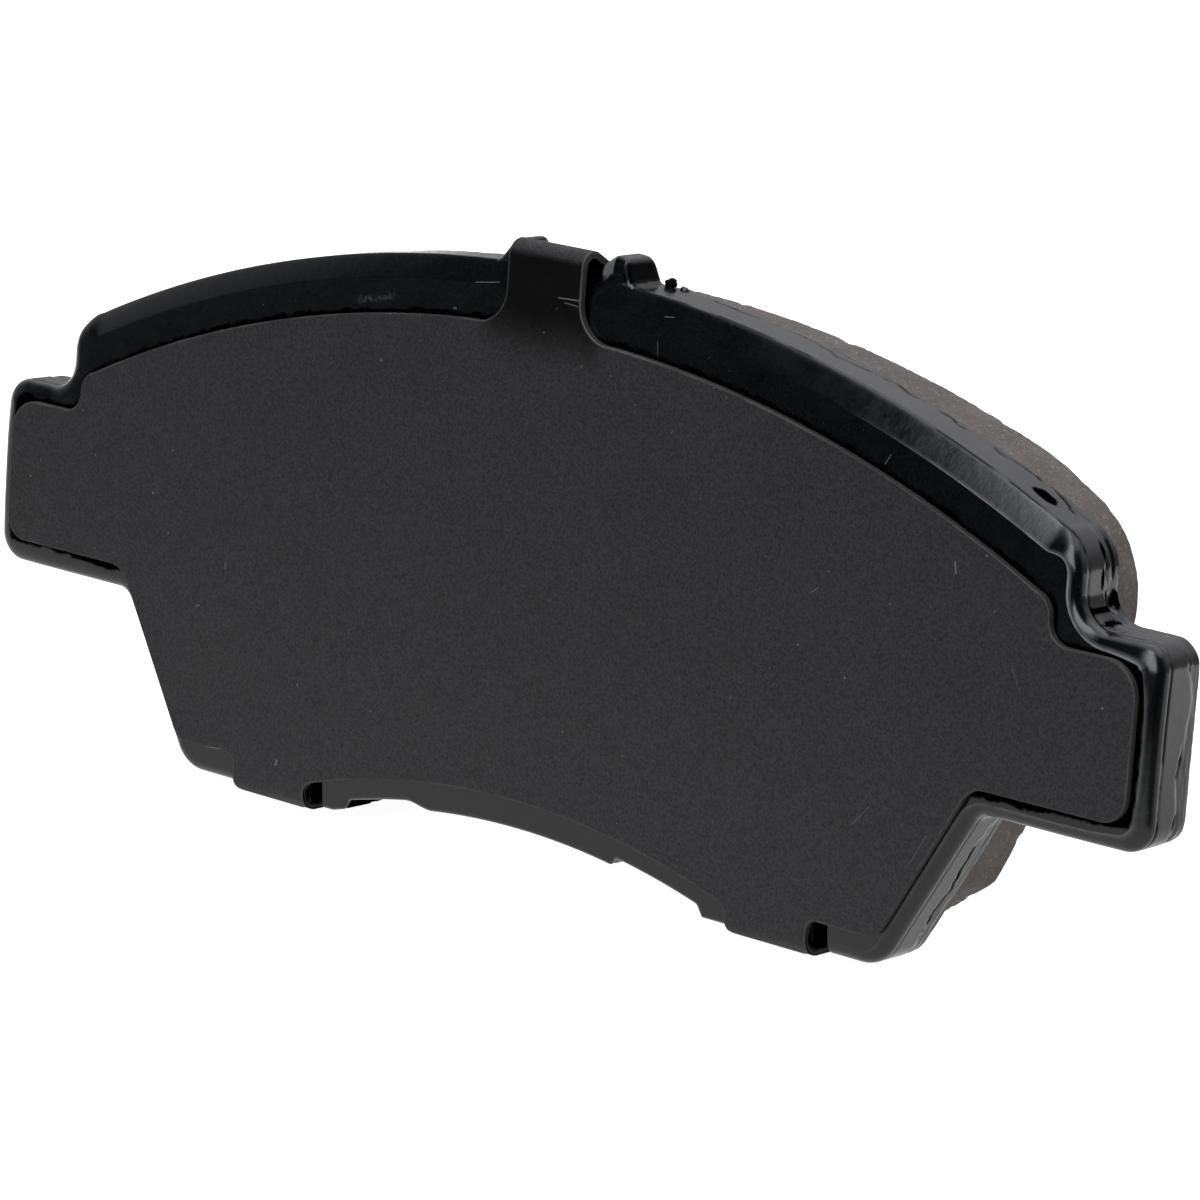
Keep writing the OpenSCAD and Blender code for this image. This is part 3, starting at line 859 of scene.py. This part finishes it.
def build_friction(skin):
    """The friction block, with its centre slot."""
    loop = block_outline()
    verts, faces = lofted(gritty_rings(loop, BLOCK_LO.y, BLOCK_HI.y, 0.3, 0.045, 0.2, 5), straight)
    block = finished("friction_material", verts, faces, skin, "pad", ["friction_block"])
    outward(block)
    half = SLOT_W / 2
    path = [(-half, BELOW_ALL), (half, BELOW_ALL), (half, ABOVE_ALL), (-half, ABOVE_ALL)]
    rings = [[(x, z, y) for x, z in path] for y in (SLOT_FLOOR_Y, BLOCK_HI.y + 3)]
    slot = helper("slot_part", *lofted(rings, straight))
    combined(block, [slot], "DIFFERENCE")
    block.data.set_sharp_from_angle(angle=math.radians(40))


def build_underlayer(skin):
    """The moulded bonding layer, with the plugs that fill the keying holes."""
    loop = block_outline()
    verts, faces = lofted(gritty_rings(loop, FILM_HI.y, UNDER_HI.y, 0.3, 0.04, 0.03, 17), straight)
    under = finished("moulded_underlayer", verts, faces, skin, "pad", ["underlayer"])
    outward(under)
    plugs = []
    for side in (1, -1):
        rings = [key_ring(side, -0.25, PLATE_LO.y + 0.12), key_ring(side, -0.03, PLATE_LO.y + 0.2),
                 key_ring(side, -0.03, FILM_HI.y + 0.5)]
        plugs.append(helper("plug_part", *lofted(rings, straight)))
    combined(under, plugs, "UNION")
    under.data.set_sharp_from_angle(angle=math.radians(40))


def build_film(skin):
    """The adhesive, which swells a little out of the joint."""
    loop = block_outline()
    out = normals(loop)
    rings = []
    for k, (share, bulge) in enumerate(((0, -0.1), (0.1, 0.06), (0.5, 0.12), (0.9, 0.06), (1, -0.1))):
        ring = []
        for p, n in zip(loop, out):
            swell = bulge + 0.05 * rough(p.x, k * 0.1, p.y, 3)
            ring.append((p.x + n.x * swell, p.y + n.y * swell, mix(FILM_LO.y, FILM_HI.y, share)))
        rings.append(ring)
    holes = [[key_ring(side, 0, FILM_LO.y), key_ring(side, 0, FILM_HI.y)] for side in (1, -1)]
    verts, faces = lofted(rings, straight, hole_rings=holes)
    made = finished("adhesive_bead", verts, faces, skin, "pad", ["adhesive_film"])
    outward(made)


# ---------------------------------------------------------------- shim

def shim_half_outline(low_end):
    """The unfolded shim's right half, top to bottom middle. Its lower tab ends at low_end."""
    root = 3.2
    root_x = TOP_TAB_HALF + 2 * root
    top = rounded([
        (0, TOP_END, 0), (TOP_TAB_HALF, TOP_END, 0.7), (TOP_TAB_HALF, arc_z(SHIM_TOP_R, TOP_TAB_HALF), root),
        (root_x, arc_z(SHIM_TOP_R, root_x), 0)])
    side = rounded([
        (SHIM_TANGENT, tangent_z(SHIM_TOP_R, SHIM_TANGENT, SHIM_TANGENT), 0),
        (SHIM_SHOULDER, tangent_z(SHIM_TOP_R, SHIM_TANGENT, SHIM_SHOULDER), 2.0),
        (SHIM_SHOULDER, SHIM_EAR_TOP_Z, 1.9),
        (SHIM_HALF, SHIM_EAR_TOP_Z, 3),
        (SHIM_HALF, SHIM_EAR_LOW_Z, 2.2),
        (SHIM_EAR_ROOT, SHIM_EAR_LOW_Z, 2.4),
        (SHIM_FOOT, SHIM_FOOT_Z, 2),
        (LOW_TAB_OUT, SHIM_FOOT_Z, 0.9),
        (LOW_TAB_OUT, low_end, 0.7),
        (LOW_TAB_IN, low_end, 0.7),
        (LOW_TAB_IN, arc_z(SHIM_LOW_R, LOW_TAB_IN), 1.2),
        (LOW_TAB_IN - 3, arc_z(SHIM_LOW_R, LOW_TAB_IN - 3), 0)])
    upper = [p for p in arc(SHIM_TOP_R, top[-1].x, side[0].x) if top[-1].x + 0.2 < p.x < side[0].x - 0.2]
    lower = [p for p in arc(SHIM_LOW_R, side[-1].x, 0) if p.x < side[-1].x - 0.2]
    return [Vector((0, TOP_END))] + top + upper + side + lower


def shim_lines():
    """Heights of the lines across the upper and lower tabs, which divide the sheet so that it can bend."""
    top = [TOP_BEND_Z + TOP_BEND_R * TOP_TURN * k / TOP_BEND_STEPS for k in range(TOP_BEND_STEPS + 1)]
    low = [LOW_BEND_Z - LOW_BEND_R * LOW_TURN * k / LOW_BEND_STEPS for k in range(LOW_BEND_STEPS + 1)]
    return top, low


def with_lines(half, low_end):
    """The half outline with extra points where it crosses the lines across the tabs."""
    top, low = shim_lines()
    low = [z for z in low if z > low_end + 0.8]
    out = []
    for a, b in zip(half, half[1:]):
        out.append(a)
        lines = []
        if a.x < TOP_TAB_HALF + 1 and a.y > 48:
            lines = top
        elif LOW_TAB_IN - 1 < a.x < LOW_TAB_OUT + 1:
            lines = low
        cuts = [(z - a.y) / (b.y - a.y) for z in lines if abs(b.y - a.y) > 1e-6]
        out += [a.lerp(b, t) for t in sorted(cuts) if 1e-4 < t < 1 - 1e-4]
    return out + [half[-1]]


def bent(x, s, depth):
    """Where a point of the unfolded sheet lies, at that depth below the outer face."""
    if s > TOP_BEND_Z and abs(x) < TOP_TAB_HALF + 1:
        r, z0, up, limit = TOP_BEND_R, TOP_BEND_Z, 1, TOP_TURN
        run = s - TOP_BEND_Z
    elif s < LOW_BEND_Z and LOW_TAB_IN - 1 < abs(x) < LOW_TAB_OUT + 1:
        r, z0, up, limit = LOW_BEND_R, LOW_BEND_Z, -1, LOW_TURN
        run = LOW_BEND_Z - s
    else:
        return x, OUTER_Y + depth, s
    turn = min(run / r, limit)
    past = run - turn * r
    y = OUTER_Y + r - (r - depth) * math.cos(turn) + past * math.sin(turn)
    z = z0 + up * ((r - depth) * math.sin(turn) + past * math.cos(turn))
    return x, y, z


def build_layer(name, node, skin, t0, t1, edge, coat=False):
    """One layer of the shim from depth t0 to t1, rounded by edge. The coat's lower tabs end early."""
    low_end = LOW_BEND_Z - LOW_BEND_R * COAT_TURN if coat else LOW_END
    loop = closed(with_lines(shim_half_outline(low_end), low_end))
    out = normals(loop)
    # bars across the tabs join points at the same height
    top, low = shim_lines()
    bars = []
    for heights, lo_x, hi_x in ((top, -TOP_TAB_HALF - 0.1, TOP_TAB_HALF + 0.1),
                                (low, LOW_TAB_IN - 0.1, LOW_TAB_OUT + 0.1),
                                (low, -LOW_TAB_OUT - 0.1, -LOW_TAB_IN + 0.1)):
        for h in heights:
            ends = [i for i, p in enumerate(loop) if abs(p.y - h) < 1e-5 and lo_x < p.x < hi_x]
            if len(ends) == 2:
                bars.append(tuple(ends))
    rings, rims = [], []
    # each ring's inset and depth, and how much of the rim it carries, which is lightened by wear and a
    # painted edge highlight
    for inset, depth, rim in ((edge + 0.14, t0, 0), (edge + 0.06, t0, 0.5), (edge, t0, 1),
                              (0.3 * edge, mix(t0, t1, 0.25), 1), (0, mix(t0, t1, 0.6), 1),
                              (0.0, t1 - 0.01, 1), (0.05, t1, 1)):
        rings.append([(p.x - n.x * inset, p.y - n.y * inset, depth) for p, n in zip(loop, out)])
        rims += [rim] * len(loop)
    verts, faces = lofted(rings, bent, bars=bars)
    layer = finished(name, verts, faces, skin, "shim", [node], sharp=50)
    layer.data.attributes.new("rim", "FLOAT", "POINT").data.foreach_set("value", rims)
    outward(layer)


# ---------------------------------------------------------------- camera, floor and light

# Where the camera stands from its target: degrees, metres
AZIMUTH, ELEVATION, ROLL, DISTANCE = 39.53, 12.26, 4.01, 0.4557
TARGET = Vector((8.36, -7.75, 25.26))
LENS, SENSOR = 165, 36


def build_camera():
    """The photograph's camera, solved from the shim's outline."""
    data = bpy.data.cameras.new("camera")
    data.lens, data.sensor_width = LENS, SENSOR
    camera = bpy.data.objects.new("camera", data)
    bpy.context.scene.collection.objects.link(camera)
    bpy.context.scene.camera = camera
    azimuth, elevation, roll = math.radians(AZIMUTH), math.radians(ELEVATION), math.radians(ROLL)
    back = Vector((math.sin(azimuth) * math.cos(elevation), -math.cos(azimuth) * math.cos(elevation),
                   math.sin(elevation)))
    level = (-back).cross(Vector((0, 0, 1))).normalized()
    up = back.cross(level)
    right = level * math.cos(roll) + up * math.sin(roll)
    top = up * math.cos(roll) - level * math.sin(roll)
    camera.matrix_world = Matrix((
        (right.x, top.x, back.x, 0), (right.y, top.y, back.y, 0), (right.z, top.z, back.z, 0),
        (0, 0, 0, 1)))
    camera.location = TARGET * MM + back * DISTANCE
    data.clip_start, data.clip_end = 0.01, 20


def flat_square(name, half, z):
    """A square at level z, in metres, that is part of the stage."""
    mesh = bpy.data.meshes.new(name)
    corners = [(-half, -half, z), (half, -half, z), (half, half, z), (-half, half, z)]
    mesh.from_pydata(corners, [], [(0, 1, 2, 3)])
    made = bpy.data.objects.new(name, mesh)
    bpy.context.scene.collection.objects.link(made)
    return made


# Light from the sheet on the floor, in front of the pad and behind it
SHEET_NEAR, SHEET_FAR = 0.9, 1.6


def build_floor():
    """A white floor for the camera, and a sheet of light just above it that only shows in the pad's gloss."""
    floor = flat_square("floor", 6.0, -0.0002)
    paper, shader = material("pale_floor")
    shader.inputs["Base Color"].default_value = (0.5, 0.5, 0.5, 1)
    shader.inputs["Roughness"].default_value = 0.9
    shader.inputs["Specular IOR Level"].default_value = 0.1
    shader.inputs["Emission Color"].default_value = (1, 1, 1, 1)
    shader.inputs["Emission Strength"].default_value = 0.9
    floor.data.materials.append(paper)
    floor.visible_glossy = floor.visible_diffuse = False

    sheet = flat_square("light_sheet", 1.5, -0.0001)
    glow = bpy.data.materials.new("light_sheet")
    glow.use_nodes = True
    tree = glow.node_tree
    tree.nodes.remove(tree.nodes["Principled BSDF"])
    add = adder(tree)
    place = add("ShaderNodeNewGeometry").outputs["Position"]
    x, y, _ = xyz(add, place)
    front = ramp(add, y, -0.125, -0.06, 0.03, SHEET_NEAR)
    dark = calc(add, "MULTIPLY", ramp(add, x, 0.09, 0.13), ramp(add, y, -0.02, 0.03, 1, 0))
    front = calc(add, "MULTIPLY", front, calc(add, "SUBTRACT", 1.0, calc(add, "MULTIPLY", dark, 0.9)))
    front = calc(add, "ADD", front, ramp(add, x, -0.25, -0.17, 0.12, 0))
    behind = ramp(add, y, 0.02, 0.15, 0, SHEET_FAR - SHEET_NEAR)
    light = add("ShaderNodeEmission", {"Color": (1, 1, 1, 1), "Strength": calc(add, "ADD", front, behind)})
    tree.links.new(light.outputs[0], tree.nodes["Material Output"].inputs["Surface"])
    sheet.data.materials.append(glow)
    sheet.visible_camera = sheet.visible_shadow = sheet.visible_diffuse = False


# Softbox in front of the pad, left of the camera: degrees from straight ahead, between which it is bright
BOX_LEFT, BOX_RIGHT, BOX_STRENGTH = -18.5, 24, 2.3
# Towards its right the softbox rises to twice that strength, between these azimuths
HOT_FROM, HOT_TO = -15, -4
# Tints of the softbox and of the rest
BOX_RED, BOX_BLUE, AMBIENT_BLUE = 0.94, 1.06, 1.04


def build_world():
    """A dark studio in front, light behind and overhead, and one tall softbox."""
    world = bpy.data.worlds.new("studio")
    bpy.context.scene.world = world
    world.use_nodes = True
    tree = world.node_tree
    shade = tree.nodes["Background"]
    add = adder(tree)
    way = add("ShaderNodeTexCoord").outputs["Generated"]
    x, y, z = xyz(add, way)
    ambient = ramp(add, y, -0.5, 0.5, 0.03, 0.38)
    high = ramp(add, z, 0.2, 0.55, 0, 0.5)
    ambient = calc(add, "ADD", ambient, calc(add, "MULTIPLY", high, ramp(add, y, -0.3, 0.4, 0, 1)))
    overhead = ramp(add, z, 0.72, 0.93, 0, 1.6)
    ambient = calc(add, "ADD", ambient, overhead)
    low_right = calc(add, "MULTIPLY", ramp(add, z, -0.25, -0.05, 1, 0), ramp(add, x, 0, 0.5, 0, 0.62))
    ambient = calc(add, "ADD", ambient, low_right)
    far_left = ramp(add, x, -0.84, -0.72, 0.22, 0)
    ambient = calc(add, "ADD", ambient, far_left)
    azimuth = calc(add, "ARCTAN2", x, calc(add, "MULTIPLY", y, -1.0))
    left = ramp(add, azimuth, math.radians(BOX_LEFT - 8), math.radians(BOX_LEFT + 8))
    right = ramp(add, azimuth, math.radians(BOX_RIGHT - 6), math.radians(BOX_RIGHT + 6), 1, 0)
    tall = calc(add, "MULTIPLY", ramp(add, z, 0.0, 0.12), ramp(add, z, 0.84, 0.95, 1, 0))
    box = calc(add, "MULTIPLY", calc(add, "MULTIPLY", left, right), calc(add, "MULTIPLY", tall, BOX_STRENGTH))
    hot = ramp(add, azimuth, math.radians(HOT_FROM), math.radians(HOT_TO))
    hot = calc(add, "MULTIPLY", hot, ramp(add, z, 0, 0.12))
    box = calc(add, "MULTIPLY", box, calc(add, "ADD", hot, 1.0))
    red = calc(add, "ADD", ambient, calc(add, "MULTIPLY", box, BOX_RED))
    blue = calc(add, "MULTIPLY", ambient, AMBIENT_BLUE)
    blue = calc(add, "ADD", blue, calc(add, "MULTIPLY", box, BOX_BLUE))
    colour = add("ShaderNodeCombineColor", {0: red, 1: calc(add, "ADD", ambient, box), 2: blue})
    tree.links.new(colour.outputs[0], shade.inputs["Color"])


def main():
    """The camera, the stage, and the pad's eight pieces."""
    bpy.context.scene.view_settings.view_transform = "Standard"
    build_camera()
    build_floor()
    build_world()
    black = enamel()
    steel = cut_steel()
    build_plate(black)
    build_film(film())
    build_underlayer(composite("underlayer_composite", (0.045, 0.038, 0.033, 1), (0.07, 0.06, 0.053, 1),
                               (0.12, 0.105, 0.09, 1), 0.2))
    build_friction(composite("friction_composite", (0.082, 0.069, 0.061, 1), (0.112, 0.096, 0.085, 1),
                             (0.17, 0.149, 0.133, 1), 0.25))
    # depths of the shim's layers below its outer face
    t1 = COAT_T
    t2 = t1 + SHEET_T
    t3 = t2 + DAMPING_T
    build_layer("shim_coat", "shim_outer_coat", shim_coat(), 0.0, t1, 0.07, coat=True)
    build_layer("shim_sheet_outer", "shim_outer_sheet", steel, t1, t2, 0.0)
    build_layer("shim_damping", "shim_damping_layer", damping_rubber(), t2, t3, 0.02)
    build_layer("shim_sheet_inner", "shim_inner_sheet", steel, t3, t3 + SHEET_T, 0.0)


main()
